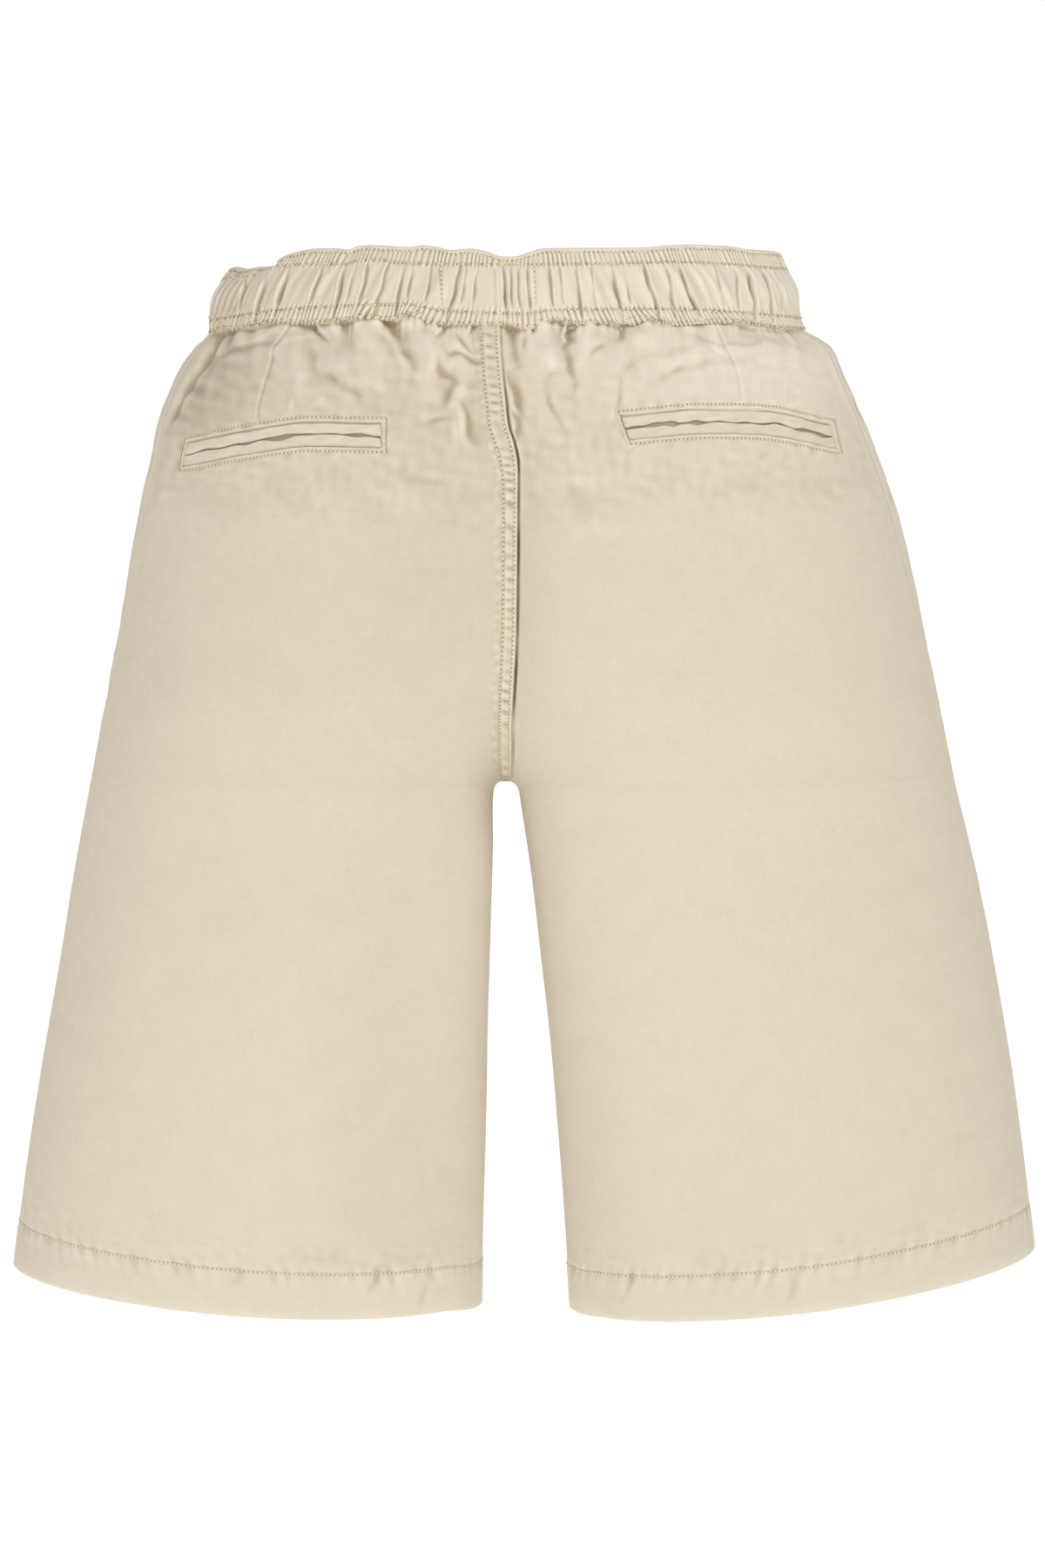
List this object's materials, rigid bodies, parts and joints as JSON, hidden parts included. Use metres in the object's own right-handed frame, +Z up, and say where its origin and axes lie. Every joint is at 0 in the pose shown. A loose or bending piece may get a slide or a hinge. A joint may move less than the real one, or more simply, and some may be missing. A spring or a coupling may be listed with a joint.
{
  "type": "bermuda shorts",
  "caption": "Knee-length cotton shorts with a gathered elastic waistband, wide straight legs, stitched hems and welt back pockets, filled out as if worn.",
  "frame": {"origin": "the middle of the waist, at half the height of the waistband, where the wearer's waist holds the shorts", "axes": "+Z up, the back of the shorts towards -Y, +X towards the right leg as seen from behind"},
  "size_m": [0.5568, 0.2521, 0.5696],
  "materials": {
    "shell_cotton": "matt woven cotton",
    "waistband_cotton": "matt woven cotton",
    "hem_cotton": "matt woven cotton",
    "welt_cotton": "matt woven cotton"
  },
  "bodies": {
    "root": {"back_left_panel": "shell_cotton", "back_right_panel": "shell_cotton", "front_left_panel": "shell_cotton", "front_right_panel": "shell_cotton", "centre_back_lap": "shell_cotton", "waistband": "waistband_cotton", "hem_left": "hem_cotton", "hem_right": "hem_cotton", "pocket_welt_upper_left": "welt_cotton", "pocket_welt_lower_left": "welt_cotton", "pocket_welt_upper_right": "welt_cotton", "pocket_welt_lower_right": "welt_cotton"}
  },
  "joints": []
}
